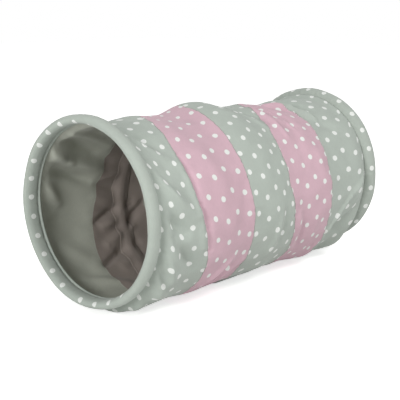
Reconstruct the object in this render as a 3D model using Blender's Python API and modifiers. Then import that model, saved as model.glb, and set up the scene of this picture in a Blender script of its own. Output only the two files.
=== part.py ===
"""A collapsible fabric play tunnel for cats, open at both ends and lying along X on its underside.

Five bands of cloth are sewn end to end round a spring-steel coil. The coil runs in a channel
sewn inside the cloth, and each mouth is a soft hem round a steel hoop. Everything is in metres.
Angles go round the tunnel from its top, and are positive towards +Y.
"""

import bpy
from math import cos, exp, radians, sin, tau
from mathutils import Vector

# Whole object
tunnel_length = 0.500
hem_diameter = 0.250  # over the soft hems, a 250 mm opening size
body_width = 0.257  # over the coil's crests, wider than it is high
body_height = 0.246
hem_lift = 0.010  # the hems hang this far above what the body lies on
foot_depth = 0.0015  # how far the body's underside is pressed flat
cloth = 0.0010
fit_gap = 0.0003  # between pieces that touch

# Hems: a casing of cloth folded round each hoop
hem_width = 0.022
hem_depth = 0.0115
hem_turning = 0.005  # the free folded edge inside the mouth
hem_outline_shares = (
    (1.00, 0.83), (0.84, 0.34), (0.60, 0.04), (0.32, 0.00), (0.10, 0.17), (0.00, 0.50),
    (0.07, 0.82), (0.30, 1.00), (0.65, 1.03), (0.93, 0.97),
)
turning_depth_share = 1.15

# Hoops: spring wire bent to a ring, its two ends held in a crimped sleeve
hoop_wire = 0.003
hoop_end_gap = 0.0008
sleeve_wall = 0.0008
sleeve_length = 0.014
hoop_joint_step = 28  # which of the hoop's straight steps holds the joint

# Body: the cloth bulges over the coil's crests and sinks between them
band_count = 5
mouth_lip = 0.0025  # the flat lip stitched to the hem
mouth_length = 0.028  # from the lip to the body's full width
mouth_swell_share = 2.2  # how fast the mouth swells, as a power
mouth_row_shares = (0.12, 0.32, 0.62, 1.0)
ridge_height = 0.0045
hump_height = 0.011  # the second crest stands higher than the others
hump_place_share = -0.20  # of a band's length, from the tunnel's middle
hump_reach_share = 0.45
foot_sag_share = 0.7  # how much less it sinks between the crests where it lies on its underside

# Seams: the coil draws them askew, so each leans once and sways twice round the tunnel.
# Shares of a band's length, each with the angle in degrees where it is furthest to the rear.
seam_shifts = (0.118, 0.092, 0.115, -0.028)
seam_leans = ((0.192, 85), (0.189, 115), (0.216, 102), (0.185, 91))
seam_sways = ((0.177, 47), (0.023, 75), (0.129, 25), (0.076, 7))

# Coil: spring wire, capped ends, in a channel of tape
coil_wire = 0.0025
coil_pitch_share = 1.13  # of a band's length
coil_crest_share = -1.50  # its front end, which lies at the top, from the tunnel's middle
channel_width = 0.016
channel_floor_share = 0.30
tape = 0.0008
cap_wall = 0.0007
cap_length = 0.010

# Thread
thread = 0.0008

# How finely round shapes are divided
steps_round = 48
coil_steps = 24
small_steps_round = 12
band_rows = 6
seam_rows = 3  # from a mouth's full width to the first seam
wire_rings = 1
sharp_angle = 50  # degrees
merge_share = 1 / 6  # of the fit gap

end = tunnel_length / 2
hem_radius = hem_diameter / 2
hoop_height = hem_lift + hem_radius
groove = end - hem_width
groove_radius = hem_radius - hem_outline_shares[0][1] * hem_depth
hoop_radius = hem_radius - cloth - fit_gap - sleeve_wall - fit_gap - hoop_wire / 2
coil_depth = foot_depth + cloth + fit_gap + coil_wire / 2
band_length = tunnel_length / band_count
coil_pitch = coil_pitch_share * band_length
coil_crest = coil_crest_share * band_length
coil_reach = groove - mouth_lip - mouth_length - coil_wire / 2 - fit_gap - cap_wall  # of its capped rear end
seam_places = [(k - band_count / 2) * band_length for k in range(1, band_count)]

collection = bpy.data.collections.new("cat_tunnel")


def clear_scene():
    for obj in list(bpy.data.objects):
        bpy.data.objects.remove(obj, do_unlink=True)
    bpy.context.scene.collection.children.link(collection)


def material(name, colour, roughness, metallic=0.0):
    made = bpy.data.materials.new(name)
    made.use_nodes = True
    shader = made.node_tree.nodes["Principled BSDF"]
    shader.inputs["Base Color"].default_value = (*colour, 1.0)
    shader.inputs["Roughness"].default_value = roughness
    shader.inputs["Metallic"].default_value = metallic
    return made


def station(name, x):
    """An empty on the tunnel's axis, which the pieces that slide together hang on."""
    empty = bpy.data.objects.new(name, None)
    empty.location = (x, 0, hoop_height)
    collection.objects.link(empty)
    return empty


def add(name, data, parent, finish):
    """Puts modelled data into the collection, with its origin at its station."""
    obj = bpy.data.objects.new(name, data)
    collection.objects.link(obj)
    obj.parent = parent
    obj.location = -parent.location
    obj.data.materials.append(finish)
    return obj


def shade(mesh):
    mesh.shade_smooth()
    mesh.set_sharp_from_angle(angle=radians(sharp_angle))


def wire(name, points, diameter, parent, finish, rings=wire_rings, closed=False):
    """A round wire or thread through the points."""
    curve = bpy.data.curves.new(name, "CURVE")
    curve.dimensions = "3D"
    curve.bevel_depth = diameter / 2
    curve.bevel_resolution = rings
    curve.use_fill_caps = not closed
    spline = curve.splines.new("POLY")
    spline.points.add(len(points) - 1)
    for point, place in zip(spline.points, points):
        point.co = (*place, 1)
    spline.use_cyclic_u = closed
    return add(name, curve, parent, finish)


def cloth_sheet(name, rows, closed, thickness, parent, finish):
    """An open sheet lofted through rows of points, thickened towards the inside of the tunnel."""
    count = len(rows[0])
    faces = []
    for r in range(len(rows) - 1):
        for k in range(count if closed else count - 1):
            here, there = r * count, (r + 1) * count
            after = (k + 1) % count
            faces.append((here + k, there + k, there + after, here + after))
    mesh = bpy.data.meshes.new(name)
    mesh.from_pydata([point for row in rows for point in row], [], faces)
    shade(mesh)
    obj = add(name, mesh, parent, finish)
    solidify = obj.modifiers.new("thickness", "SOLIDIFY")
    solidify.thickness = thickness
    solidify.offset = -1
    solidify.use_even_offset = True
    return obj


def turned(name, outline, steps, parent, finish):
    """A profile of (along, radius) points turned round the X axis, on a mesh of its own."""
    mesh = bpy.data.meshes.new(name)
    mesh.from_pydata([(x, 0, r) for x, r in outline], [(k, k + 1) for k in range(len(outline) - 1)], [])
    obj = add(name, mesh, parent, finish)
    screw = obj.modifiers.new("turn", "SCREW")
    screw.axis = "X"
    screw.steps = screw.render_steps = steps
    screw.use_merge_vertices = True
    screw.merge_threshold = fit_gap * merge_share
    screw.use_smooth_shade = True
    return obj


def eased(share):
    share = min(max(share, 0), 1)
    return share * share * (3 - 2 * share)


def swell(share):
    share = min(max(share, 0), 1)
    return 1 - (1 - share) ** mouth_swell_share


def skin(x, angle, pressed=True):
    """The point of the cloth's outer face at x, at this angle round the tunnel."""
    along = (groove - abs(x) - mouth_lip) / mouth_length
    full = swell(along)
    wave = (x - coil_crest) / coil_pitch + angle / tau
    sag = 1 - foot_sag_share * max(-cos(angle), 0) ** 3
    dip = ridge_height * sag * (1 - cos(tau * wave)) / 2 * eased(along)
    from_hump = x / band_length - hump_place_share
    hump = hump_height * exp(-((from_hump / hump_reach_share) ** 2)) * max(cos(angle), 0) ** 2
    tall = (body_height + foot_depth) / 2
    half_width = groove_radius + (body_width / 2 - groove_radius) * full - dip
    half_height = groove_radius + (tall - groove_radius) * full - dip + hump
    middle = hoop_height + (tall - foot_depth - hoop_height) * full
    z = middle + half_height * cos(angle)
    return Vector((x, half_width * sin(angle), max(z, 0) if pressed else z))


def inwards(angle):
    return Vector((0, -sin(angle), -cos(angle)))


def seam_x(number, angle):
    """Where the seam between two bands runs."""
    (lean, lean_turn), (sway, sway_turn) = seam_leans[number], seam_sways[number]
    askew = lean * cos(angle - radians(lean_turn)) + sway * cos(2 * (angle - radians(sway_turn)))
    return seam_places[number] + (seam_shifts[number] + askew) * band_length


def round_angles():
    return [tau * k / steps_round for k in range(steps_round)]


def band_edges(number, angle):
    """The two ends of a band at this angle, each half a gap short of its neighbour."""
    low = -groove if number == 0 else seam_x(number - 1, angle)
    high = groove if number == band_count - 1 else seam_x(number, angle)
    return low + fit_gap / 2, high - fit_gap / 2


def divided(low, high, count):
    """The places that divide a stretch into this many, without its ends."""
    return [low + (high - low) * k / count for k in range(1, count)]


def band_places(number, angle):
    """The x of each row of a band. The rows by a mouth follow the swelling behind the hem."""
    low, high = band_edges(number, angle)
    if number in (0, band_count - 1):
        mouth = [mouth_lip, *(mouth_lip + share * mouth_length for share in mouth_row_shares)]
        if number == 0:
            rows = [low, *(low + step for step in mouth)]
            return [*rows, *divided(rows[-1], high, seam_rows), high]
        rows = [high, *(high - step for step in mouth)]
        return [low, *divided(low, rows[-1], seam_rows), *reversed(rows)]
    return [low, *divided(low, high, band_rows), high]


def on_cloth(x, angle):
    """The point of the bands' outer face at x, between the rows that they are made of."""
    places = sorted(place for number in range(band_count) for place in band_places(number, angle))
    after = next(k for k, place in enumerate(places) if place >= x)
    low, high = places[after - 1], places[after]
    return skin(low, angle).lerp(skin(high, angle), (x - low) / (high - low))


def band(name, number, parent, finish):
    columns = [[skin(x, a) for x in band_places(number, a)] for a in round_angles()]
    rows = [[column[r] for column in columns] for r in range(len(columns[0]))]
    return cloth_sheet(name, rows, True, cloth, parent, finish)


def hem(name, side, parent, finish):
    """The casing folded round a hoop, open along its free edge inside the mouth."""
    outline = [(hem_width * along, hem_radius - hem_depth * down) for along, down in hem_outline_shares]
    outline.append((hem_width + hem_turning, hem_radius - hem_depth * turning_depth_share))
    outline[0] = (hem_width - fit_gap / 2, outline[0][1])
    placed = [(side * (end - along), radius) for along, radius in outline]
    obj = turned(name, placed, steps_round, parent, finish)
    obj.location.z = 0
    solidify = obj.modifiers.new("thickness", "SOLIDIFY")
    solidify.thickness = cloth
    solidify.offset = side
    solidify.use_even_offset = True
    return obj


def hoop_places():
    """Where a hoop's wire runs: a ring of straight steps, broken in the middle of one of them."""
    corners = [tau * (k + hoop_joint_step + 1) / steps_round for k in range(steps_round)]
    ring = [Vector((0, hoop_radius * sin(a), hoop_radius * cos(a))) for a in corners]
    middle = (ring[-1] + ring[0]) / 2
    along = (ring[0] - ring[-1]).normalized()
    return [middle + along * hoop_end_gap / 2, *ring, middle - along * hoop_end_gap / 2], middle, along


def hoop(name, x, parent, finish):
    points, _, _ = hoop_places()
    lift = Vector((x, 0, hoop_height))
    return wire(name, [point + lift for point in points], hoop_wire, parent, finish)


def tube_along(name, middle, along, outline, parent, finish):
    """A small turned piece, with its axis laid along a wire."""
    obj = turned(name, outline, small_steps_round, parent, finish)
    obj.location = middle - parent.location
    obj.rotation_mode = "QUATERNION"
    obj.rotation_quaternion = along.to_track_quat("X", "Z")
    return obj


def sleeve(name, x, parent, finish):
    """The crimped tube over the joint in a hoop."""
    _, middle, along = hoop_places()
    bore = hoop_wire / 2 + fit_gap
    outer = bore + sleeve_wall
    half = sleeve_length / 2
    outline = [(-half, bore), (half, bore), (half, outer), (-half, outer), (-half, bore)]
    return tube_along(name, middle + Vector((x, 0, hoop_height)), along, outline, parent, finish)


def coil_x(angle):
    return coil_crest - coil_pitch * angle / tau


def coil_angles():
    """The angles of the coil's points, from the top to as far back as the cloth has its full width."""
    steps = int((coil_reach - coil_crest) / coil_pitch * coil_steps)
    return [-tau * k / coil_steps for k in range(steps + 1)]


def coil_points():
    angles = coil_angles()
    return [skin(coil_x(a), a, pressed=False) + inwards(a) * coil_depth for a in angles]


def least_gap_between_turns(points):
    """The coil's least gap to itself, from its points half a turn or more apart."""
    apart = coil_steps // 2
    distances = [
        (points[i] - points[j]).length
        for i in range(len(points))
        for j in range(i + apart, len(points))
    ]
    return min(distances) - coil_wire


def channel(name, parent, finish):
    """The tape sewn inside the cloth along the coil, arched to leave room for the wire."""
    edge_depth = cloth + fit_gap
    floor_depth = coil_depth + coil_wire / 2 + fit_gap
    half = channel_width / 2
    rows = []
    for angle in coil_angles()[1:-1]:
        x = coil_x(angle)
        arch = half * channel_floor_share
        rows.append([
            on_cloth(x - half, angle) + inwards(angle) * edge_depth,
            skin(x - arch, angle, pressed=False) + inwards(angle) * floor_depth,
            skin(x + arch, angle, pressed=False) + inwards(angle) * floor_depth,
            on_cloth(x + half, angle) + inwards(angle) * edge_depth,
        ])
    return cloth_sheet(name, rows, False, tape, parent, finish)


def cap(name, tip, before, parent, finish):
    """The plastic cap pushed over an end of the coil, closed at its tip."""
    along = (before - tip).normalized()
    bore = coil_wire / 2 + fit_gap
    outer = bore + cap_wall
    outline = [
        (-fit_gap, 0), (-fit_gap, bore), (cap_length, bore),
        (cap_length, outer), (-fit_gap - cap_wall, outer), (-fit_gap - cap_wall, 0),
    ]
    return tube_along(name, tip, along, outline, parent, finish)


def seam_thread(name, number, parent, finish):
    height = fit_gap + thread / 2
    points = [skin(seam_x(number, a), a) - inwards(a) * height for a in round_angles()]
    return wire(name, points, thread, parent, finish, rings=0, closed=True)


def hem_thread(name, side, parent, finish):
    """The row of stitching that closes a hem, in the groove behind it."""
    x = side * (groove - mouth_lip / 2)
    height = fit_gap + thread / 2
    points = [skin(x, a) - inwards(a) * height for a in round_angles()]
    return wire(name, points, thread, parent, finish, rings=0, closed=True)


def build():
    clear_scene()
    sage = material("sage_cotton", (0.36, 0.42, 0.37), 0.85)
    pink = material("pink_cotton", (0.58, 0.40, 0.46), 0.85)
    sage_thread = material("sage_thread", (0.45, 0.50, 0.46), 0.70)
    steel = material("spring_steel", (0.45, 0.45, 0.46), 0.35, 1.0)
    zinc = material("zinc_sleeve", (0.55, 0.56, 0.58), 0.40, 1.0)
    lining_tape = material("channel_tape", (0.30, 0.33, 0.29), 0.90)
    cap_plastic = material("cap_plastic", (0.05, 0.05, 0.05), 0.50)

    front_end = station("front_end", -groove)
    seams = [station(f"seam_{k + 1}", x) for k, x in enumerate(seam_places)]
    rear_end = station("rear_end", groove)

    hoop_place = end - hem_width * hem_outline_shares[3][0]
    for word, side, parent in (("front", -1, front_end), ("rear", 1, rear_end)):
        hem(f"{word}_hem", side, parent, sage)
        hem_thread(f"{word}_hem_stitching", side, parent, sage_thread)
        hoop(f"{word}_hoop", side * hoop_place, parent, steel)
        sleeve(f"{word}_hoop_sleeve", side * hoop_place, parent, zinc)

    bands = (
        ("front_grey_band", front_end, sage),
        ("front_pink_band", seams[0], pink),
        ("middle_grey_band", seams[1], sage),
        ("rear_pink_band", seams[2], pink),
        ("rear_grey_band", seams[3], sage),
    )
    for number, (name, parent, finish) in enumerate(bands):
        band(name, number, parent, finish)
    for number, parent in enumerate(seams):
        seam_thread(f"seam_{number + 1}_stitching", number, parent, sage_thread)

    points = coil_points()
    wire("coil_wire", points, coil_wire, front_end, steel)
    channel("coil_channel", front_end, lining_tape)
    rear_coil_end = station("rear_coil_end", points[-1].x)
    cap("front_coil_cap", points[0], points[1], seams[0], cap_plastic)
    cap("rear_coil_cap", points[-1], points[-2], rear_coil_end, cap_plastic)
    print(f"coil: {len(points)} points, least gap to itself {least_gap_between_turns(points) * 1000:.1f} mm")


build()
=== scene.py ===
from functools import partial
from math import copysign, cos, pi, radians, sin, sqrt, tau

import bpy
import numpy as np
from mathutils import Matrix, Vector


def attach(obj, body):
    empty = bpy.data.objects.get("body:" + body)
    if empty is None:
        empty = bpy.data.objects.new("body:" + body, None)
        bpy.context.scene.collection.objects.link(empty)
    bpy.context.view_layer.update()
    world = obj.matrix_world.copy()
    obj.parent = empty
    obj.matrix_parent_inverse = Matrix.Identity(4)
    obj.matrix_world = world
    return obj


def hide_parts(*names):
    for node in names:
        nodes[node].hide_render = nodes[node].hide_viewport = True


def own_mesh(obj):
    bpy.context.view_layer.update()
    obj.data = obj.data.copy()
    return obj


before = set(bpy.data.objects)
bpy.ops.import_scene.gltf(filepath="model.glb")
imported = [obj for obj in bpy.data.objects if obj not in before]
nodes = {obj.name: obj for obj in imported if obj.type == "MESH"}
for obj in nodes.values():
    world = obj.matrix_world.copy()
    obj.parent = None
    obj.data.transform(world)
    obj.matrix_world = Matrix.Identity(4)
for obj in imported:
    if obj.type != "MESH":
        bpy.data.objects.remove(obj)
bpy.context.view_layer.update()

bpy.ops.object.select_all(action="DESELECT")

# the tunnel's sizes in metres, and places round it in degrees from the top, the near side negative
tunnel = {
    "end": 0.250,
    "hemRadius": 0.125,
    "hemWidth": 0.022,
    "hemDepth": 0.0115,
    "grooveShare": 0.83,   # of the hem's depth, down to the groove where a band is sewn on
    "hoopHeight": 0.135,   # of the hoops' middle over the floor
    "bodyWidth": 0.257,
    "bodyHeight": 0.246,
    "footDepth": 0.0015,   # how far the underside is pressed flat on the floor
    "cloth": 0.0010,
    "gap": 0.0003,
    "mouthLip": 0.0025,
    "mouthLength": 0.014,  # the cloth fills out over this length behind a hem
    "mouthNear": 1.8,      # how much further that takes on the near side
    "mouthSwell": 2.2,
    # where the hem's casing lies off its hoop: the middle and reach of the place, and how far off
    "frontDrift": (95, 40, -0.0010),
    "rearDrift": (-128, 30, 0.0045),
    "driftFade": 0.045,    # the bands follow the hems' casings over this length
    "ridgeHeight": 0.0045,   # of the crest over a turn of the coil
    "humpHeight": 0.011,   # the second crest stands higher
    "humpPlace": -0.020,
    "humpReach": 0.045,
    "footSag": 0.7,        # how much less the cloth sinks between the crests of the underside
    "coilPitch": 0.113,
    "coilCrest": -0.150,
    "coilWire": 0.0025,
    "seamPlaces": (-0.15, -0.05, 0.05, 0.15),
    # the coil draws the seams askew: each leans once and sways twice, furthest to the rear at these degrees
    "seamShifts": (0.0118, 0.0092, 0.0115, -0.0028),
    "seamLeans": ((0.0192, 85), (0.0189, 115), (0.0216, 102), (0.0185, 91)),
    "seamSways": ((0.0177, 47), (0.0023, 75), (0.0129, 25), (0.0076, 7)),
    # a fold draws the last seam forwards: how far, and the fold's middle and reach
    "lastSeamTuck": (-0.028, 1, 15),
}
groove = tunnel["end"] - tunnel["hemWidth"]
grooveRadius = tunnel["hemRadius"] - tunnel["grooveShare"] * tunnel["hemDepth"]
aroundRadius = 0.127    # turns an angle into a length of cloth
print("frame loaded:", len(nodes), "nodes")

# folds in the cloth: from and to, each as x in mm and degrees from the top, then half width and height in mm
folds = (
    ((-226, -22), (-202, -38), 4, 2.4),      # gathers at the front hem's shoulder
    ((-224, -14), (-200, -28), 4, 2.2),
    ((-214, -32), (-180, -50), 9, 3.2),
    ((-190, 8), (-170, 8), 14, 1.2),         # the first band's crest, and the hollow beside it
    ((-158, 10), (-92, 10), 17, 4.0),
    ((-92, 10), (40, 10), 17, 2.6),
    ((-204, -14), (-188, -36), 8, -4.0),
    ((-224, -46), (-204, -60), 8, -1.6),
    ((-228, -59), (-172, -82), 9, 6.5),      # the long fold down the first band, with hollows under it
    ((-218, -80), (-190, -91), 10, -12.5),
    ((-206, -95), (-166, -117), 9, -9.5),
    ((-226, -101), (-194, -123), 6, 5.0),
    ((-226, -114), (-206, -124), 6, -7.0),
    ((-214, -128), (-188, -142), 8, 3.0),
    ((-222, -136), (-196, -150), 9, -5.0),
    ((-162, 10), (-140, -10), 7, -2.2),      # over and under the front pink band
    ((-174, -50), (-168, -78), 5, 2.2),      # it tucks in behind the first seam
    ((-168, -78), (-155, -104), 5, 2.6),
    ((-165, -44), (-160, -76), 4, -3.2),
    ((-160, -76), (-142, -106), 4, -3.6),
    ((-138, -44), (-104, -66), 14, 1.4),
    ((-124, -139), (-86, -117), 5, 3.4),
    ((-118, -145), (-80, -126), 5, -3.2),
    ((-104, -141), (-60, -124), 5, 3.2),
    ((-92, -148), (-50, -130), 6, -3.0),
    ((-84, -92), (-62, -62), 10, -1.8),
    ((-44, -166), (-20, -166), 16, 4.0),
    ((12, -14), (40, -36), 5, 2.6),          # the middle band
    ((26, -6), (52, -30), 5, -2.4),
    ((2, -92), (-6, -126), 6, 2.6),
    ((14, -94), (10, -116), 6, -2.8),
    ((14, -66), (30, -84), 10, -1.6),
    ((60, -8), (60, -44), 4, 4.0),           # the crest and the hollow on top of the rear pink band
    ((74, -12), (92, -30), 9, -5.0),
    ((72, -34), (96, -38), 8, -3.0),
    ((82, -40), (66, -70), 9, -2.4),
    ((100, -58), (112, -84), 10, 1.6),
    ((50, -99), (60, -130), 5, 2.4),
    ((62, -100), (74, -128), 6, -2.6),
    ((88, -104), (100, -128), 7, 1.8),
    ((94, -6), (132, -16), 7, -6.0),         # the hollow and the crest behind the rear pink band
    ((132, -16), (143, -32), 5, -4.5),
    ((112, -4), (146, -13), 5, 6.0),
    ((146, -13), (158, -34), 4, 4.5),
    ((160, -4), (174, -24), 6, -5.5),
    ((160, -40), (184, -47), 9, -2.8),
    ((148, -60), (176, -78), 12, 1.8),
    ((210, -86), (177, -97), 4, 3.6),        # the long crease down to the underside, and what hangs under it
    ((177, -97), (138, -119), 4, 4.4),
    ((138, -119), (128, -142), 5, 3.4),
    ((214, -106), (178, -122), 14, -9.0),
    ((178, -116), (152, -130), 9, -6.5),
    ((206, -140), (176, -152), 12, 6.0),
    ((150, -142), (116, -150), 13, 4.5),
    ((-212, 28), (-113, 50), 6, -4.6),       # the far wall, seen through the mouth
    ((-206, 40), (-135, 58), 10, 10.0),
    ((-135, 58), (-100, 66), 8, 4.0),
    ((-217, 50), (-177, 61), 8, -10.0),
    ((-177, 61), (-118, 71), 8, -11.5),
    ((-106, 73), (-66, 76), 7, -4.0),
    ((-200, 67), (-135, 79), 8, 9.5),
    ((-125, 81), (-72, 90), 7, 4.5),
    ((-212, 76), (-188, 90), 10, -9.0),
    ((-104, 78), (-76, 79), 5, -4.0),
    ((-121, 92), (-88, 98), 8, -4.0),
    ((-124, 109), (-94, 104), 5, 6.5),
    ((-94, 104), (-46, 101), 6, 6.0),
    ((-112, 113), (-86, 111), 7, -6.5),
    ((-78, 119), (-26, 104), 7, 7.5),
    ((-58, 117), (-116, 126), 8, -6.5),
    ((-140, 141), (-100, 133), 6, 6.0),
    ((-100, 133), (-60, 130), 7, 6.0),
    ((-110, 144), (-76, 140), 9, -4.5),
    ((-202, 118), (-158, 134), 15, -4.5),
    ((-212, 100), (-150, 104), 12, 2.5),
    ((-183, 148), (-134, 160), 9, -5.0),
    ((-210, 144), (-180, 158), 8, 3.6),
    ((-30, 84), (40, 74), 9, 3.0),
    ((-10, 112), (70, 96), 10, -3.0),
    ((0, 130), (80, 118), 9, 3.0),
    ((60, 40), (130, 26), 12, -3.0),
    ((100, 78), (180, 60), 11, 2.5),
    ((110, 108), (190, 92), 12, -2.5),
    ((90, 142), (160, 128), 10, 2.5),
)

clothShape = {
    "holdReach": 0.007,    # how far along the tunnel a turn of the coil holds the cloth
    "holdFade": 0.4,       # radians over which the first turn begins
    "ripples": 6,
    "rippleSize": 0.034,
    "rippleHeight": 0.0015,
    "foldEnds": 0.55,      # of a fold's height at its ends, and what its middle adds
    "foldMiddle": 0.45,
    "sinkOverCoil": 0.0012,
    "sinkBetween": 0.02,   # how much further the cloth can sink between the turns
    "foldsFrom": 1.8,      # how soon the folds begin behind a hem
}


def eased(share):
    share = np.clip(share, 0, 1)
    return share * share * (3 - 2 * share)


def coilHold(x, angle):
    # how firmly a turn of the coil holds the cloth here; in front of its end, at the top, there is none
    wave = (x - tunnel["coilCrest"]) / tunnel["coilPitch"] + angle / tau
    turn = np.round(wave)
    near = np.exp(-((wave - turn) * tunnel["coilPitch"] / clothShape["holdReach"]) ** 2)
    gone = np.where(turn > 0.5, 0, np.where(turn < -0.5, 1, eased(angle / clothShape["holdFade"])))
    return near * (1 - gone)


def ripple(x, angle, seed, size):
    # the slow unevenness of sewn cloth, from a few crossed waves that close round the tunnel; the odd numbers
    # only keep the waves apart
    total = 0
    for k in range(clothShape["ripples"]):
        turn = seed * 1.7 + k * 2.4
        long = size * (1 + 0.5 * ((seed * 0.37 + k * 0.61) % 1))
        times = round(tau * aroundRadius * sin(turn) / long)
        total = total + np.sin(x * cos(turn) * tau / long + angle * times + seed + k * 1.3)
    return total / clothShape["ripples"]


def foldHeight(x, angle):
    # each fold is a ridge or a hollow between its two places, highest in its middle
    total = 0
    for (x1, a1), (x2, a2), wide, high in folds:
        turned = (angle - radians(a1) + pi) % tau - pi
        alongX, alongA = (x2 - x1) * 0.001, radians(a2 - a1) * aroundRadius
        length = sqrt(alongX ** 2 + alongA ** 2)
        dx, da = x - x1 * 0.001, turned * aroundRadius
        share = (dx * alongX + da * alongA) / length ** 2
        off = (da * alongX - dx * alongA) / length
        over = np.maximum(0, np.maximum(-share, share - 1)) * length
        full = clothShape["foldEnds"] + clothShape["foldMiddle"] * np.sin(np.clip(share, 0, 1) * pi)
        total = total + high * 0.001 * full * np.exp(-(off ** 2 + over ** 2) / (wide * 0.001) ** 2)
    return total


def mouthReach(angle):
    # the length over which the cloth fills out behind a hem
    return tunnel["mouthLength"] * (1 + tunnel["mouthNear"] * np.maximum(-np.sin(angle), 0) ** 2)


def intoMouth(x, angle):
    return (groove - np.abs(x) - tunnel["mouthLip"]) / mouthReach(angle)


def hemDrift(side, angle):
    # the casing hangs a little outside its hoop here, and lies close on it there
    middle, reach, most = tunnel["rearDrift"] if side > 0 else tunnel["frontDrift"]
    turned = (angle - radians(middle) + pi) % tau - pi
    return most * np.exp(-(turned / radians(reach)) ** 2)


def clothPlace(x, angle, depth=0.0, extra=0.0, pressed=True):
    # a point of the cloth: the coil's turns lift it and it sinks between them
    along = intoMouth(x, angle)
    full = 1 - (1 - np.clip(along, 0, 1)) ** tunnel["mouthSwell"]
    wave = (x - tunnel["coilCrest"]) / tunnel["coilPitch"] + angle / tau
    sag = 1 - tunnel["footSag"] * np.maximum(-np.cos(angle), 0) ** 3
    dip = tunnel["ridgeHeight"] * sag * (1 - np.cos(tau * wave)) / 2 * eased(along)
    fromHump = (x - tunnel["humpPlace"]) / tunnel["humpReach"]
    hump = tunnel["humpHeight"] * np.exp(-fromHump ** 2) * np.maximum(np.cos(angle), 0) ** 2
    tall = (tunnel["bodyHeight"] + tunnel["footDepth"]) / 2
    halfWidth = grooveRadius + (tunnel["bodyWidth"] / 2 - grooveRadius) * full - dip + extra - depth
    halfHeight = grooveRadius + (tall - grooveRadius) * full - dip + hump + extra - depth
    atHem = 1 - eased((groove - np.abs(x)) / tunnel["driftFade"])
    drift = np.where(x > 0, hemDrift(1, angle), hemDrift(-1, angle)) * atHem
    halfWidth, halfHeight = halfWidth + drift, halfHeight + drift
    middle = tunnel["hoopHeight"] + (tall - tunnel["footDepth"] - tunnel["hoopHeight"]) * full
    z = middle + halfHeight * np.cos(angle)
    return np.stack((x + 0 * angle, halfWidth * np.sin(angle), np.maximum(z, 0) if pressed else z), -1)


def clothHeight(x, angle):
    # how far folds and ripples move the cloth off its plain shape; the coil keeps it from sinking
    along = intoMouth(x, angle)
    rippled = ripple(x, angle, 1, clothShape["rippleSize"]) * clothShape["rippleHeight"]
    height = foldHeight(x, angle) + rippled
    held = coilHold(x, angle)
    floor = -clothShape["sinkOverCoil"] - clothShape["sinkBetween"] * (1 - held)
    sunk = np.where(height < 0, floor * np.tanh(height / floor), height)
    return sunk * eased(along * clothShape["foldsFrom"])


def seamPlace(number, angle):
    # where a seam runs along the tunnel
    (lean, leanTurn), (sway, swayTurn) = tunnel["seamLeans"][number], tunnel["seamSways"][number]
    askew = lean * np.cos(angle - radians(leanTurn)) + sway * np.cos(2 * (angle - radians(swayTurn)))
    tuck, tuckAt, tuckReach = tunnel["lastSeamTuck"]
    turned = (angle - radians(tuckAt) + pi) % tau - pi
    tucked = tuck * np.exp(-(turned / radians(tuckReach)) ** 2) if number == 3 else 0
    return tunnel["seamPlaces"][number] + tunnel["seamShifts"][number] + askew + tucked


def finerAtEnds(count, length, ends=(0.0002, 0.0006, 0.0012, 0.002)):
    # shares of a length, closer together at both ends
    near = [0, *(step / length for step in ends)]
    middle = np.linspace(near[-1], 1 - near[-1], count)
    return np.array([*near[:-1], *middle, *(1 - step for step in reversed(near[:-1]))])


mergeWithin = 0.00002   # how close two points of a closing sheet's edges are


def gridPiece(name, across, around, place, uvPlace, closed=True):
    # a grid of the right number of squares, laid out in space and in metres of cloth on its UV map
    bpy.ops.object.select_all(action="DESELECT")
    squares = {"x_subdivisions": len(across) - 1, "y_subdivisions": len(around) - 1}
    bpy.ops.mesh.primitive_grid_add(**squares, size=2, calc_uvs=True)
    piece = bpy.context.object
    piece.name = piece.data.name = name
    count = len(piece.data.vertices)
    flat = np.empty(count * 3)
    piece.data.vertices.foreach_get("co", flat)
    flat = flat.reshape(-1, 3)
    column = np.rint((flat[:, 0] + 1) / 2 * (len(across) - 1)).astype(int)
    row = np.rint((flat[:, 1] + 1) / 2 * (len(around) - 1)).astype(int)
    piece.data.vertices.foreach_set("co", place(across[column], around[row]).ravel())
    corner = np.empty(len(piece.data.loops), int)
    piece.data.loops.foreach_get("vertex_index", corner)
    uv = uvPlace(across[column], around[row])[corner]
    piece.data.uv_layers.active.data.foreach_set("uv", uv.ravel())
    piece.data.update()
    bpy.ops.object.mode_set(mode="EDIT")
    bpy.ops.mesh.select_all(action="SELECT")
    if closed:
        bpy.ops.mesh.remove_doubles(threshold=mergeWithin)
    bpy.ops.object.mode_set(mode="OBJECT")
    return piece


def facesOutwards(piece, outwards):
    # turns the faces over if they look the other way from this function of their middles
    middle = np.empty(len(piece.data.polygons) * 3)
    normal = np.empty(len(piece.data.polygons) * 3)
    piece.data.polygons.foreach_get("center", middle)
    piece.data.polygons.foreach_get("normal", normal)
    if (outwards(middle.reshape(-1, 3)) * normal.reshape(-1, 3)).sum() < 0:
        bpy.ops.object.mode_set(mode="EDIT")
        bpy.ops.mesh.select_all(action="SELECT")
        bpy.ops.mesh.flip_normals()
        bpy.ops.object.mode_set(mode="OBJECT")


def thicken(piece, thickness, hasReverse=False):
    # gives a sheet its thickness inwards, with its second material on the reverse
    solid = piece.modifiers.new("thickness", "SOLIDIFY")
    solid.thickness = thickness
    solid.offset = -1
    solid.use_even_offset = True
    if hasReverse:
        solid.material_offset = 1
        solid.material_offset_rim = 1
    bpy.context.view_layer.objects.active = piece
    bpy.ops.object.modifier_apply(modifier=solid.name)
    piece.data.shade_smooth()


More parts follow.
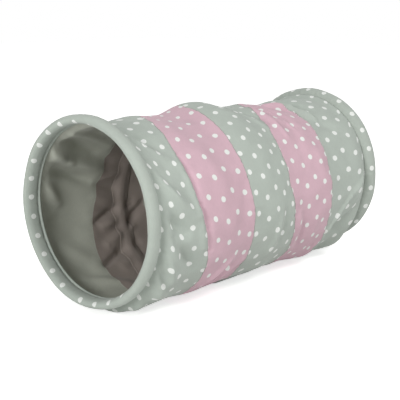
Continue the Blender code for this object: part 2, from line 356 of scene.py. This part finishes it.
def guideCurve(name, places, closed):
    # a curve through places, made from a ring of edges
    bpy.ops.object.select_all(action="DESELECT")
    bpy.ops.mesh.primitive_circle_add(vertices=len(places), radius=1, fill_type="NOTHING")
    guide = bpy.context.object
    guide.name = name
    guide.data.vertices.foreach_set("co", np.asarray(places, float).ravel())
    guide.data.update()
    if not closed:
        bpy.ops.object.mode_set(mode="EDIT")
        bpy.ops.mesh.select_mode(type="EDGE")
        bpy.ops.mesh.select_all(action="DESELECT")
        bpy.ops.object.mode_set(mode="OBJECT")
        for edge in guide.data.edges:
            edge.select = set(edge.vertices) == {0, len(places) - 1}
        bpy.ops.object.mode_set(mode="EDIT")
        bpy.ops.mesh.delete(type="EDGE_FACE")
        bpy.ops.mesh.select_mode(type="VERT")
        bpy.ops.object.mode_set(mode="OBJECT")
    bpy.ops.object.convert(target="CURVE")
    return bpy.context.object


def newFinish(name):
    finish = bpy.data.materials.new(name)
    finish.use_nodes = True
    return finish, finish.node_tree.nodes, finish.node_tree.links, finish.node_tree.nodes["Principled BSDF"]


def mathNode(tree, links, operation, *values):
    node = tree.new("ShaderNodeMath")
    node.operation = operation
    for socket, value in zip(node.inputs, values):
        if isinstance(value, (int, float)):
            socket.default_value = value
        else:
            links.new(value, socket)
    return node.outputs[0]


def noiseNode(tree, links, vector, scale, detail):
    node = tree.new("ShaderNodeTexNoise")
    node.inputs["Scale"].default_value = scale
    node.inputs["Detail"].default_value = detail
    links.new(vector, node.inputs["Vector"])
    return node.outputs[0]


def bumpNode(tree, links, height, strength, distance):
    node = tree.new("ShaderNodeBump")
    node.inputs["Strength"].default_value = strength
    node.inputs["Distance"].default_value = distance
    links.new(height, node.inputs["Height"])
    return node.outputs[0]


def mixColour(tree, links, share, first, second, blend="MIX"):
    node = tree.new("ShaderNodeMix")
    node.data_type = "RGBA"
    node.blend_type = blend
    for socket, value in ((node.inputs[0], share), (node.inputs[6], first), (node.inputs[7], second)):
        if isinstance(value, (int, float)):
            socket.default_value = value
        elif isinstance(value, tuple):
            socket.default_value = (*value, 1)
        else:
            links.new(value, socket)
    return node.outputs[2]


cotton = {
    "sage": (0.405, 0.450, 0.405),
    "pink": (0.585, 0.400, 0.455),
    "dots": (0.74, 0.76, 0.73),
    "hem": (0.392, 0.434, 0.390),
    "sageReverse": (0.432, 0.448, 0.386),
    # the pink reverse: its own brownish tone, darkened further as painted shade for the dim inside of the
    # tunnel
    "pinkReverseWithPaintedShade": (0.312, 0.268, 0.240),
    # the tape's own colour darkened by about a quarter: painted shade over its face that catches the light
    # from the mouth
    "tape": (0.305, 0.262, 0.235),
    "threadPitch": 0.0008,   # of the weave
    "weaveShare": 0.3,       # of the weave in the cloth's relief; the yarn's unevenness is the rest
    "yarnScale": (900, 160, 1),
    "grain": (0.14, 0.93),   # how much the yarn lightens the colour, and its darkest level
    "blotchScale": 38,
    "blotches": (0.16, 0.92),
    "bump": (0.35, 0.0003),  # its strength and depth
    "roughness": 0.80,
    "roughnessSpread": 0.16,
    "specular": 0.2,
    "sheen": 0.18,
    "sheenRoughness": 0.45,
    "dotRadius": 0.0040,
    "dotEdge": 0.0002,       # how soft a dot's edge is
    "dotWobble": 0.00045,    # how uneven it is
    "wobbleScale": 420,
}


def printedDots(tree, links, cloth, lattice):
    # the share of print at a place on the cloth: staggered rows of dots with slightly uneven edges
    calc = partial(mathNode, tree, links)
    turned = tree.new("ShaderNodeMapping")
    turned.inputs["Rotation"].default_value = (0, 0, -radians(lattice["turn"]))
    turned.inputs["Location"].default_value = (-lattice["along"] / 1000, -lattice["round"] / 1000, 0)
    links.new(cloth, turned.inputs["Vector"])
    parts = tree.new("ShaderNodeSeparateXYZ")
    links.new(turned.outputs[0], parts.inputs[0])
    rowPitch, dotPitch, shift = (lattice[key] / 1000 for key in ("rowPitch", "dotPitch", "shift"))
    row = calc("ROUND", calc("DIVIDE", parts.outputs[0], rowPitch))
    fromRow = calc("SUBTRACT", parts.outputs[0], calc("MULTIPLY", row, rowPitch))
    odd = calc("FLOORED_MODULO", row, 2.0)
    slid = calc("SUBTRACT", parts.outputs[1], calc("MULTIPLY", odd, shift))
    nearest = calc("ROUND", calc("DIVIDE", slid, dotPitch))
    fromDot = calc("SUBTRACT", slid, calc("MULTIPLY", nearest, dotPitch))
    away = calc("SQRT", calc("ADD", calc("POWER", fromRow, 2.0), calc("POWER", fromDot, 2.0)))
    uneven = noiseNode(tree, links, cloth, cotton["wobbleScale"], detail=1)
    wobble = calc("MULTIPLY_ADD", uneven, 2 * cotton["dotWobble"], -cotton["dotWobble"])
    edge = tree.new("ShaderNodeMapRange")
    edge.interpolation_type = "SMOOTHSTEP"
    edge.inputs["From Min"].default_value = cotton["dotRadius"] + cotton["dotEdge"]
    edge.inputs["From Max"].default_value = cotton["dotRadius"] - cotton["dotEdge"]
    links.new(calc("ADD", away, wobble), edge.inputs["Value"])
    return edge.outputs[0]


def cottonFinish(name, colour, lattice=None):
    # matt cotton whose UV map is in metres; lattice places the printed dots on it
    finish, tree, links, shader = newFinish(name)
    calc = partial(mathNode, tree, links)
    cloth = tree.new("ShaderNodeTexCoord").outputs["UV"]
    shade = noiseNode(tree, links, cloth, cotton["blotchScale"], detail=3)
    slub = tree.new("ShaderNodeMapping")
    slub.inputs["Scale"].default_value = cotton["yarnScale"]
    links.new(cloth, slub.inputs["Vector"])
    yarn = noiseNode(tree, links, slub.outputs[0], 1, detail=2)
    grain = calc("MULTIPLY_ADD", yarn, *cotton["grain"])
    level = calc("MULTIPLY", calc("MULTIPLY_ADD", shade, *cotton["blotches"]), grain)
    colourOut = mixColour(tree, links, 1.0, colour, level, "MULTIPLY")
    if lattice:
        ink = mixColour(tree, links, 1.0, cotton["dots"], grain, "MULTIPLY")
        colourOut = mixColour(tree, links, printedDots(tree, links, cloth, lattice), colourOut, ink)
    links.new(colourOut, shader.inputs["Base Color"])
    weave = tree.new("ShaderNodeSeparateXYZ")
    links.new(cloth, weave.inputs[0])
    turns = tau / cotton["threadPitch"]
    warp, weft = (calc("SINE", calc("MULTIPLY", way, turns)) for way in weave.outputs[:2])
    height = calc("ADD", calc("MULTIPLY", calc("MULTIPLY", warp, weft), cotton["weaveShare"]), yarn)
    links.new(bumpNode(tree, links, height, *cotton["bump"]), shader.inputs["Normal"])
    rough = calc("MULTIPLY_ADD", yarn, cotton["roughnessSpread"], cotton["roughness"])
    links.new(rough, shader.inputs["Roughness"])
    shader.inputs["Specular IOR Level"].default_value = cotton["specular"]
    shader.inputs["Sheen Weight"].default_value = cotton["sheen"]
    shader.inputs["Sheen Roughness"].default_value = cotton["sheenRoughness"]
    return finish


# where the dots fall on each piece: the print's turn in degrees, then its place, its pitches and the shift of
# every other row in mm; a hem has one row
printValues = ("turn", "along", "round", "rowPitch", "dotPitch", "shift")
prints = {
    "frontGrey": (-4.0, 1.2, 3.6, 20.0, 29.7, 11.7),
    "frontPink": (2.7, -10.1, 9.9, 23.3, 30.4, 8.0),
    "middleGrey": (1.7, 7.9, 8.6, 21.4, 30.0, 19.3),
    "rearPink": (0.6, -2.6, 2.1, 20.0, 30.8, 10.2),
    "rearGrey": (1.5, -3.3, 11.2, 20.0, 29.5, 20.8),
    "frontHem": (0, 0, 12.7, 100.0, 29.7, 0),
    "rearHem": (0, 0, -0.4, 100.0, 31.2, 0),
}
# how the sewing pulls each band's print askew, in mm: sideways, round the tunnel, sideways further round,
# in both ways, and drawn together along the tunnel
pulls = (
    (0.9, -1.4, 3.8, -0.6, -4.7),
    (0.2, 1.5, -3.1, -2.1, -3.8),
    (8.3, 4.9, -0.8, -1.7, 2.1),
    (3.1, 3.5, 2.4, 5.5, -0.5),
    (-2.2, 0.2, -0.5, 3.1, -1.3),
)


def dottedCotton(name, colour, printName):
    return cottonFinish(name, cotton[colour], dict(zip(printValues, prints[printName])))


sageReverse = cottonFinish("sage cotton reverse", cotton["sageReverse"])
# the pink reverse's colour carries painted shade for the dim inside of the tunnel
pinkReverseWithPaintedShade = cottonFinish("pink cotton reverse with painted shade", cotton["pinkReverseWithPaintedShade"])
print("cotton mixed")

bandShape = {
    "rowsAcross": 62,
    "rowsAround": 400,
    "sewnAt": 176,         # degrees, where each band's own lengthwise seam runs
    "turnIn": 0.0016,      # the cloth rounds into a seam over this width
    "turnDepth": 0.0007,
    "turnMost": 0.999,     # of a quarter round, at the seam itself
    "seamPucker": 0.00035,
    "mouthPucker": 0.0007,
    "mouthSlower": 1.5,    # how much longer the puckers by a hem are
    "mouthFree": 0.006,    # they begin over this width
    "puckerReach": 0.009,
    "puckers": (101, 71, 47),  # how many go round the tunnel
    "puckerSway": 1.5,
    "flatMouth": 0.078,    # the width cut for the bands by the mouths, and for the others
    "flatMiddle": 0.100,
    "flatRound": 0.800,
    # the print's start round the tunnel, and the middle, reach and ends of the pulls on it
    "printStart": 0.120,
    "pullMiddle": -0.040,
    "pullReach": 0.1,
    "pullEnds": (-1.9, 1.8),
    "pullHalf": 0.05,      # half a band's width
}
bandFacts = (
    ("frontGreyCloth", "front_grey_band", "front_end", "front_grey_collapse", -0.228, "sage", "frontGrey"),
    ("frontPinkCloth", "front_pink_band", "seam_1", "front_pink_collapse", -0.150, "pink", "frontPink"),
    ("middleGreyCloth", "middle_grey_band", "seam_2", "middle_grey_collapse", -0.050, "sage", "middleGrey"),
    ("rearPinkCloth", "rear_pink_band", "seam_3", "rear_pink_collapse", 0.050, "pink", "rearPink"),
    ("rearGreyCloth", "rear_grey_band", "seam_4", "rear_grey_collapse", 0.150, "sage", "rearGrey"),
)


def roundedIn(distance):
    # how far a sewn edge turns in
    inside = np.clip(1 - distance / bandShape["turnIn"], 0, bandShape["turnMost"])
    return bandShape["turnDepth"] * (1 - np.sqrt(1 - inside ** 2))


def puckers(angle, distance, seed, height, slower=1):
    # the small waves along a seam, dying out away from it; the odd numbers keep them apart
    waves = 0
    for k, times in enumerate(bandShape["puckers"]):
        sway = bandShape["puckerSway"] * np.sin(angle * (3 + k) + seed)
        waves = waves + np.sin(angle * round(times / slower) + seed * 2.1 + k * 1.9 + sway)
    return height / 2 * waves * np.exp(-distance / bandShape["puckerReach"])


def outwardsFromAxis(middles):
    return np.stack((np.zeros(len(middles)), middles[:, 1], middles[:, 2] - tunnel["hoopHeight"]), -1)


def mouthRun(distance, angle):
    # how much shorter the way along the tunnel is than the swelling cloth, from here to where it is full
    share = np.clip(intoMouth(groove - distance, angle), 0, 1)
    rise = tunnel["bodyWidth"] / 2 - grooveRadius
    left, climbed = (1 - share) * mouthReach(angle), rise * (1 - share) ** tunnel["mouthSwell"]
    return left - np.hypot(left, climbed)


def sewBand(number, name, node, body, joint, anchor, colour, printName):
    atMouth = number in (0, 4)
    flatWidth = bandShape["flatMouth"] if atMouth else bandShape["flatMiddle"]
    across = finerAtEnds(bandShape["rowsAcross"], flatWidth)
    turn = finerAtEnds(bandShape["rowsAround"], bandShape["flatRound"])
    around = radians(bandShape["sewnAt"]) - tau + turn * tau

    def edges(angle):
        low = -groove if number == 0 else seamPlace(number - 1, angle)
        high = groove if number == 4 else seamPlace(number, angle)
        return low + tunnel["gap"] / 2, high - tunnel["gap"] / 2

    def place(share, angle):
        low, high = edges(angle)
        x = low + (high - low) * share
        height = clothHeight(x, angle)
        if number > 0:
            height = height + puckers(angle, x - low, number, bandShape["seamPucker"])
        if number < 4:
            waves = puckers(angle, high - x, number + 1, bandShape["seamPucker"])
            height = height - roundedIn(high - x) + waves
        if atMouth:
            inMouth = groove - np.abs(x) - tunnel["mouthLip"]
            swollen = eased(inMouth / bandShape["mouthFree"])
            size, slower = bandShape["mouthPucker"], bandShape["mouthSlower"]
            height = height + swollen * puckers(angle, np.maximum(inMouth, 0), number + 7, size, slower)
        fromSeam = np.minimum(angle - around[0], around[-1] - angle) * aroundRadius
        height = height - roundedIn(fromSeam)
        return clothPlace(x, angle, extra=height)

    def uvPlace(share, angle):
        along = (share - 1 if number == 4 else share) * flatWidth
        if atMouth:
            inwards = -1 if number == 4 else 1
            along = along + inwards * mouthRun(np.abs(along), angle)
        lengthRound = angle * aroundRadius + bandShape["printStart"]
        swing = (lengthRound - bandShape["pullMiddle"]) / bandShape["pullReach"]
        swing = np.clip(swing, *bandShape["pullEnds"])
        aside, turned, asideMore, both, drawn = (pull * 0.001 for pull in pulls[number])
        halves = along / bandShape["pullHalf"]
        lengthRound = lengthRound + turned * swing ** 2 + both * (halves - 1) * swing
        fromMiddle = halves + (1 if number == 4 else -1)
        along = along + aside * swing ** 2 + asideMore * swing ** 3 + drawn * fromMiddle ** 2
        return np.stack((along, lengthRound), -1)

    piece = gridPiece(name, across, around, place, uvPlace)
    facesOutwards(piece, outwardsFromAxis)
    piece.data.materials.append(dottedCotton(f"{colour} dotted cotton {number + 1}", colour, printName))
    piece.data.materials.append(sageReverse if colour == "sage" else pinkReverseWithPaintedShade)
    thicken(piece, tunnel["cloth"], hasReverse=True)
    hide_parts(node)
    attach(piece, body)
    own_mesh(piece)
    return piece


bands = [sewBand(number, *facts) for number, facts in enumerate(bandFacts)]
print("bands sewn:", sum(len(piece.data.polygons) for piece in bands), "faces")

hemShape = {
    # from the tunnel's end and from the crown, as shares of the hem's width and depth
    "outline": (
        (1.00, 0.83), (0.84, 0.34), (0.60, 0.04), (0.32, 0.00), (0.10, 0.17), (0.00, 0.50), (0.06, 0.80),
        (0.25, 1.02), (0.52, 1.09), (0.76, 1.05), (0.89, 0.91), (0.95, 0.95), (1.01, 1.03), (1.06, 1.03),
    ),
    "stepsEach": 6,        # between two points of the outline
    "rowsAround": 420,
    "uneven": 0.0009,
    "unevenSize": 0.05,
    "pucker": 0.0007,
    "freeFrom": 0.006,     # the casing is free to swell this far from its seam
    "mostForward": 0.0002,   # its swelling adds no more than this to the tunnel's length
    "sewnAt": 164,
    "turnIn": 0.0014,
    "turnDepth": 0.0006,
    "hoopAt": (0.45, 0.52),  # the hoop's middle, in the outline's shares
    "flat": (0.062, 0.785),
    # the row of dots runs inside the mouth on the front hem, and over the crown on the rear one
    "dotsInside": 0.47,
    "dotsOnCrown": 0.50,
    "insideFrom": 0.6,     # the depth that divides the inside from the crown
    # the casing is rolled on its hoop, and so is the row: round the far side of the front hem it sways twice
    "rollMiddle": 1.84,
    "rollFade": 1.2,
    "rollSway": 0.0048,
    "rollNear": 0.0027,
    "rollFront": -0.0062,
    "rollRear": -0.0035,
}


def smoothOutline(points, steps):
    # a soft line through the points
    points = np.array([points[0], *points, points[-1]], float)
    line = []
    for k in range(1, len(points) - 2):
        before, here, there, after = points[k - 1:k + 3]
        for t in np.arange(steps) / steps:
            bend = (2 * before - 5 * here + 4 * there - after) * t ** 2
            twist = (3 * here - before - 3 * there + after) * t ** 3
            line.append(0.5 * (2 * here + (there - before) * t + bend + twist))
    return np.array([*line, points[-2]])


def sewHem(name, node, body, side, printName):
    outline = smoothOutline(hemShape["outline"], hemShape["stepsEach"])
    outline[0, 0] -= tunnel["gap"] / 2 / tunnel["hemWidth"]
    along, down = outline[:, 0] * tunnel["hemWidth"], outline[:, 1] * tunnel["hemDepth"]
    length = np.concatenate(([0], np.cumsum(np.hypot(np.diff(along), np.diff(down)))))
    normal = np.stack((np.gradient(down), -np.gradient(along)), -1)
    normal /= np.linalg.norm(normal, axis=1)[:, None]
    crown = slice(2 * hemShape["stepsEach"], 3 * hemShape["stepsEach"])
    if normal[crown, 1].mean() > 0:
        normal = -normal
    turn = finerAtEnds(hemShape["rowsAround"], hemShape["flat"][1])
    around = radians(hemShape["sewnAt"]) - tau + turn * tau
    across = np.arange(len(along)).astype(float)

    def place(step, angle):
        k = step.astype(int)
        seed = 3 + side
        toGroove = np.minimum(length[k], length[-1] - length[k])
        free = eased(toGroove / hemShape["freeFrom"])
        height = hemShape["uneven"] * ripple(length[k], angle, seed, hemShape["unevenSize"]) * free
        height = height + free * puckers(angle, toGroove, seed + 4, hemShape["pucker"])
        fromSeam = np.minimum(angle - around[0], around[-1] - angle) * tunnel["hemRadius"]
        height = height - hemShape["turnDepth"] * np.clip(1 - fromSeam / hemShape["turnIn"], 0, 1) ** 2 * free
        x = side * (tunnel["end"] - along[k] - np.minimum(height, hemShape["mostForward"]) * normal[k, 0])
        radius = tunnel["hemRadius"] - down[k] - height * normal[k, 1] + hemDrift(side, angle)
        return np.stack((x, radius * np.sin(angle), tunnel["hoopHeight"] + radius * np.cos(angle)), -1)

    def uvPlace(step, angle):
        k = step.astype(int)
        turned = (angle - hemShape["rollMiddle"] + pi) % tau - pi
        far = eased((np.cos(turned) + 1) / hemShape["rollFade"])
        rolled = hemShape["rollRear"]
        if side < 0:
            sway = hemShape["rollSway"] * np.cos(2 * turned) * far
            rolled = sway + hemShape["rollNear"] * (1 - far) + hemShape["rollFront"]
        return np.stack((length[k] - dotsCentre - rolled, angle * tunnel["hemRadius"]), -1)

    target = hemShape["dotsInside"] if side < 0 else hemShape["dotsOnCrown"]
    inner = down > hemShape["insideFrom"] * tunnel["hemDepth"]
    nearest = np.where(inner == (side < 0), np.abs(along / tunnel["hemWidth"] - target), np.inf).argmin()
    dotsCentre = length[nearest]
    piece = gridPiece(name, across, around, place, uvPlace)
    piece.data.materials.append(dottedCotton(f"sage hem cotton {name}", "hem", printName))
    piece.data.materials.append(sageReverse)

    def outwardsFromHoop(middles):
        radial = np.hypot(middles[:, 1], middles[:, 2] - tunnel["hoopHeight"])
        fromEnd, fromCrown = hemShape["hoopAt"]
        hoopX = side * (tunnel["end"] - tunnel["hemWidth"] * fromEnd)
        hoopRadius = tunnel["hemRadius"] - tunnel["hemDepth"] * fromCrown
        out = (radial - hoopRadius) / radial
        up = middles[:, 2] - tunnel["hoopHeight"]
        return np.stack((middles[:, 0] - hoopX, middles[:, 1] * out, up * out), -1)

    facesOutwards(piece, outwardsFromHoop)
    thicken(piece, tunnel["cloth"], hasReverse=True)
    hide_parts(node)
    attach(piece, body)


sewHem("frontHemCasing", "front_hem", "front_end", -1, "frontHem")
sewHem("rearHemCasing", "rear_hem", "rear_end", 1, "rearHem")
print("hems folded")

thread = {
    "thickness": 0.0006,
    "stitch": 0.0027,
    "pitch": 0.0034,
    "sides": 8,
    "rings": 5,
    "guideSteps": 360,
    "behindHem": 0.0008,   # the hems' stitches lie this far behind the groove
    "overBand": 0.0002,
    "overSeam": 0.0003,
    "middle": 1e-6,        # a stitch's middle ring is one that lies within this, and stays there
    "colour": (0.36, 0.40, 0.36),
    "strandScale": 2600,
    "strands": (0.5, 0.75),  # how much the strands lighten the colour, and its darkest level
    "bump": (0.4, 0.0001),
    "roughness": 0.6,
    "sheen": 0.2,
}


def threadFinish():
    finish, tree, links, shader = newFinish("sage thread")
    place = tree.new("ShaderNodeTexCoord").outputs["Object"]
    strands = noiseNode(tree, links, place, thread["strandScale"], detail=2)
    level = mathNode(tree, links, "MULTIPLY_ADD", strands, *thread["strands"])
    links.new(mixColour(tree, links, 1.0, thread["colour"], level, "MULTIPLY"), shader.inputs["Base Color"])
    links.new(bumpNode(tree, links, strands, *thread["bump"]), shader.inputs["Normal"])
    shader.inputs["Roughness"].default_value = thread["roughness"]
    shader.inputs["Sheen Weight"].default_value = thread["sheen"]
    return finish


sewingThread = threadFinish()


def stitchAlong(name, node, places):
    # one stitch, repeated along the seam
    guide = guideCurve(name + "Guide", places, True)
    bpy.ops.object.select_all(action="DESELECT")
    shape = {"segments": thread["sides"], "ring_count": thread["rings"], "radius": thread["thickness"] / 2}
    bpy.ops.mesh.primitive_uv_sphere_add(**shape)
    stitch = bpy.context.object
    stitch.name = stitch.data.name = name
    bpy.ops.object.mode_set(mode="EDIT")
    bpy.ops.mesh.select_all(action="SELECT")
    bpy.ops.transform.rotate(value=pi / 2, orient_axis="Y", center_override=(0, 0, 0))
    bpy.ops.object.mode_set(mode="OBJECT")
    half = (thread["stitch"] - thread["thickness"]) / 2
    for vertex in stitch.data.vertices:
        if abs(vertex.co.x) > thread["middle"]:
            vertex.co.x += copysign(half, vertex.co.x)
    row = stitch.modifiers.new("row", "ARRAY")
    row.fit_type = "FIT_CURVE"
    row.curve = guide
    row.use_relative_offset = False
    row.use_constant_offset = True
    row.constant_offset_displace = (thread["pitch"], 0, 0)
    bent = stitch.modifiers.new("bent", "CURVE")
    bent.object = guide
    bpy.context.view_layer.objects.active = stitch
    bpy.ops.object.modifier_apply(modifier="row")
    bpy.ops.object.modifier_apply(modifier="bent")
    bpy.data.objects.remove(guide, do_unlink=True)
    stitch.data.shade_smooth()
    stitch.data.materials.append(sewingThread)
    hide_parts(node)
    return stitch


ringAngles = np.arange(thread["guideSteps"]) * tau / thread["guideSteps"]
for side, word in ((-1, "front"), (1, "rear")):
    x = np.full(thread["guideSteps"], side * (groove - thread["behindHem"]))
    line = clothPlace(x, ringAngles, extra=thread["overBand"])
    piece = stitchAlong(f"{word}HemStitches", f"{word}_hem_stitching", line)
    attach(piece, f"{word}_end")
stitchJoints = ("front_grey_collapse", "front_pink_collapse", "middle_grey_collapse", "rear_pink_collapse")
for number, joint in enumerate(stitchJoints):
    x = seamPlace(number, ringAngles)
    height = clothHeight(x, ringAngles) - bandShape["turnDepth"] + thread["overSeam"]
    line = clothPlace(x, ringAngles, extra=height)
    piece = stitchAlong(f"seam{number + 1}Stitches", f"seam_{number + 1}_stitching", line)
    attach(piece, f"seam_{number + 1}")
    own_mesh(piece)
print("seams stitched")

metal = {
    "steel": (0.45, 0.45, 0.46),
    "steelRoughness": 0.28,
    "steelStreaks": (1, 4, 4),
    "zinc": (0.55, 0.56, 0.58),
    "zincRoughness": 0.36,
    "zincStreaks": (3, 1, 1),
    "drawnScale": 300,
    "stainScale": 90,
    "stain": 0.72,         # how dark the stains are
    "roughnessSpread": 0.25,
    "bump": (0.2, 0.0001),
}


def metalFinish(name, kind):
    finish, tree, links, shader = newFinish(name)
    place = tree.new("ShaderNodeTexCoord").outputs["Object"]
    stretched = tree.new("ShaderNodeMapping")
    stretched.inputs["Scale"].default_value = metal[kind + "Streaks"]
    links.new(place, stretched.inputs["Vector"])
    drawn = noiseNode(tree, links, stretched.outputs[0], metal["drawnScale"], detail=4)
    stain = noiseNode(tree, links, place, metal["stainScale"], detail=2)
    dark = tuple(part * metal["stain"] for part in metal[kind])
    links.new(mixColour(tree, links, stain, dark, metal[kind]), shader.inputs["Base Color"])
    spread, least = metal["roughnessSpread"], metal[kind + "Roughness"]
    rough = mathNode(tree, links, "MULTIPLY_ADD", drawn, spread, least)
    links.new(rough, shader.inputs["Roughness"])
    links.new(bumpNode(tree, links, drawn, *metal["bump"]), shader.inputs["Normal"])
    shader.inputs["Metallic"].default_value = 1.0
    return finish


springSteel = metalFinish("drawn spring steel", "steel")
zincPlate = metalFinish("dull zinc", "zinc")

coil = {
    "depth": 0.00405,      # of the wire's middle under the cloth's face
    "firstAngle": 0,
    "lastAngle": -1095,
    "tipStep": 15,         # degrees from each tip to the wire's first bend, as in the solid
    "step": 5,
    "rounding": 1e-6,      # keeps the last of the even steps
    "rings": 4,
    "channelWidth": 0.032,
    "channelFloor": 0.08,  # the share of it that lies flat over the wire
    "tape": 0.0004,
    "tapeStep": 1.5,
    "overrun": 0.012,      # of the tape past the tips
    "tapeEnd": 0.002,      # the tape is sewn down over this last length
    "capRoom": 0.0021,     # how much lower the tape runs over the caps
    "capEnd": 0.012,
    "capFade": 0.024,
    "leastLift": 0.0003,
    "rowsAcross": 18,
}


def coilX(angle):
    return tunnel["coilCrest"] - tunnel["coilPitch"] * angle / tau


def windCoil():
    first, last = radians(coil["firstAngle"]), radians(coil["lastAngle"])
    step = radians(coil["tipStep"])
    inner = np.arange(first - step, last + step - coil["rounding"], -radians(coil["step"]))
    angles = np.array([first, *inner, last])
    places = clothPlace(coilX(angles), angles, depth=coil["depth"], pressed=False)
    guide = guideCurve("coilWireGuide", places, False)
    guide.data.bevel_depth = tunnel["coilWire"] / 2
    guide.data.bevel_resolution = coil["rings"]
    guide.data.use_fill_caps = True
    bpy.ops.object.convert(target="MESH")
    piece = bpy.context.object
    piece.name = piece.data.name = "coilWire"
    piece.data.shade_smooth()
    piece.data.materials.append(springSteel)
    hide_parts("coil_wire")
    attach(piece, "front_end")
    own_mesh(piece)


windCoil()


def sewChannel():
    # the tape runs on past the wire's capped ends and closes over them
    first, last = radians(coil["firstAngle"]), radians(coil["lastAngle"])
    overrun = coil["overrun"] / aroundRadius
    around = np.arange(first + overrun, last - overrun, -radians(coil["tapeStep"]))
    across = np.linspace(-1, 1, coil["rowsAcross"] + 1)
    half = coil["channelWidth"] / 2

    def place(share, angle):
        x = coilX(angle) + share * half
        cover = 1 - eased((np.abs(share) - coil["channelFloor"]) / (1 - coil["channelFloor"]))
        fromTip = np.minimum(first - angle, angle - last) * aroundRadius
        cover = cover * eased((fromTip + coil["overrun"]) / (coil["overrun"] - coil["tapeEnd"]))
        overCap = coil["capRoom"] * (1 - eased((fromTip - coil["capEnd"]) / coil["capFade"]))
        onCloth = tunnel["cloth"] + tunnel["gap"] - clothHeight(x, angle)
        underWire = coil["depth"] + tunnel["coilWire"] / 2 + tunnel["gap"] + overCap
        depth = onCloth + (np.maximum(underWire, onCloth + coil["leastLift"]) - onCloth) * cover
        return clothPlace(x, angle, depth=depth, pressed=False)

    def uvPlace(share, angle):
        return np.stack((share * half, angle * aroundRadius), -1)

    piece = gridPiece("channelTape", across, around, place, uvPlace, closed=False)
    facesOutwards(piece, outwardsFromAxis)
    # the tape's darker colour is painted shade over its lit face
    piece.data.materials.append(cottonFinish("channel tape cotton with painted shade", cotton["tape"]))
    thicken(piece, coil["tape"])
    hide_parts("coil_channel")
    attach(piece, "front_end")
    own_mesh(piece)


sewChannel()
print("coil wound and covered")

plastic = {
    "dark": (0.035, 0.035, 0.036),
    "light": (0.06, 0.06, 0.06),
    "grainScale": 1800,
    "roughness": 0.4,
    "roughnessSpread": 0.2,
    "bump": (0.25, 0.0001),
}


def plasticFinish():
    finish, tree, links, shader = newFinish("moulded cap plastic")
    place = tree.new("ShaderNodeTexCoord").outputs["Object"]
    grain = noiseNode(tree, links, place, plastic["grainScale"], detail=3)
    rough = mathNode(tree, links, "MULTIPLY_ADD", grain, plastic["roughnessSpread"], plastic["roughness"])
    links.new(rough, shader.inputs["Roughness"])
    links.new(mixColour(tree, links, grain, plastic["dark"], plastic["light"]), shader.inputs["Base Color"])
    links.new(bumpNode(tree, links, grain, *plastic["bump"]), shader.inputs["Normal"])
    return finish


capPlastic = plasticFinish()
cadFinishes = {
    "front_hoop": springSteel, "rear_hoop": springSteel,
    "front_hoop_sleeve": zincPlate, "rear_hoop_sleeve": zincPlate,
    "front_coil_cap": capPlastic, "rear_coil_cap": capPlastic,
}
for name, finish in cadFinishes.items():
    for slot in nodes[name].material_slots:
        slot.material = finish
print("metal and plastic finished")

studio = {
    "floor": (0.88, 0.88, 0.87),
    "floorSize": 14,
    "floorLevel": -0.0005,
    "floorRoughness": 0.9,
    "floorSpecular": 0.1,
    "floorGlow": 0.66,     # what the camera sees of the floor over its own light
    "worldLevel": 0.45,
    "keyPlace": (0.2, -2.0, 2.3),
    "keySize": 1.2,
    "keyPower": 33,
    "fillPlace": (-2.1, -0.6, 0.8),
    "fillSize": 0.9,
    "fillPower": 24.5,
    "lampsAim": (0, 0, 0.12),
}


def seenDirectly(tree, links):
    # 1 for what the camera sees itself, in a gloss or through glass
    seen = tree.new("ShaderNodeLightPath").outputs
    direct = mathNode(tree, links, "MAXIMUM", seen["Is Camera Ray"], seen["Is Glossy Ray"])
    return mathNode(tree, links, "MAXIMUM", direct, seen["Is Transmission Ray"])


def layFloor():
    bpy.ops.object.select_all(action="DESELECT")
    bpy.ops.mesh.primitive_plane_add(size=studio["floorSize"], location=(0, 0, studio["floorLevel"]))
    floor = bpy.context.object
    floor.name = "studioFloor"
    finish, tree, links, shader = newFinish("studio floor")
    shader.inputs["Base Color"].default_value = (*studio["floor"], 1)
    shader.inputs["Roughness"].default_value = studio["floorRoughness"]
    shader.inputs["Specular IOR Level"].default_value = studio["floorSpecular"]
    glow = tree.new("ShaderNodeEmission")
    level = mathNode(tree, links, "MULTIPLY", seenDirectly(tree, links), studio["floorGlow"])
    links.new(level, glow.inputs["Strength"])
    both = tree.new("ShaderNodeAddShader")
    links.new(shader.outputs[0], both.inputs[0])
    links.new(glow.outputs[0], both.inputs[1])
    links.new(both.outputs[0], tree["Material Output"].inputs["Surface"])
    floor.data.materials.append(finish)


def lightWorld():
    world = bpy.data.worlds.new("studio")
    bpy.context.scene.world = world
    world.use_nodes = True
    tree, links = world.node_tree.nodes, world.node_tree.links
    direct = seenDirectly(tree, links)
    level = mathNode(tree, links, "MULTIPLY_ADD", direct, 1 - studio["worldLevel"], studio["worldLevel"])
    background = tree["Background"]
    background.inputs["Color"].default_value = (1, 1, 1, 1)
    links.new(level, background.inputs["Strength"])


def hangLamp(name, place, size, power):
    bpy.ops.object.light_add(type="AREA", location=place)
    lamp = bpy.context.object
    lamp.name = name
    lamp.data.shape = "DISK"
    lamp.data.size = size
    lamp.data.energy = power
    aim = Vector(studio["lampsAim"]) - Vector(place)
    lamp.rotation_euler = aim.to_track_quat("-Z", "Y").to_euler()


layFloor()
lightWorld()
hangLamp("keyLamp", studio["keyPlace"], studio["keySize"], studio["keyPower"])
hangLamp("fillLamp", studio["fillPlace"], studio["fillSize"], studio["fillPower"])

camera = {
    "place": (-0.9695, -0.8447, 0.3913),
    "forward": (0.7277, 0.6524, -0.2116),
    "lens": 80.8,
    "sensor": 36,
    "near": 0.01,
}
bpy.ops.object.camera_add(location=camera["place"])
viewer = bpy.context.object
viewer.name = "photoCamera"
viewer.rotation_euler = Vector(camera["forward"]).to_track_quat("-Z", "Y").to_euler()
viewer.data.lens = camera["lens"]
viewer.data.sensor_width = camera["sensor"]
viewer.data.clip_start = camera["near"]
bpy.context.scene.camera = viewer
bpy.context.scene.view_settings.view_transform = "Standard"
print("studio lit")
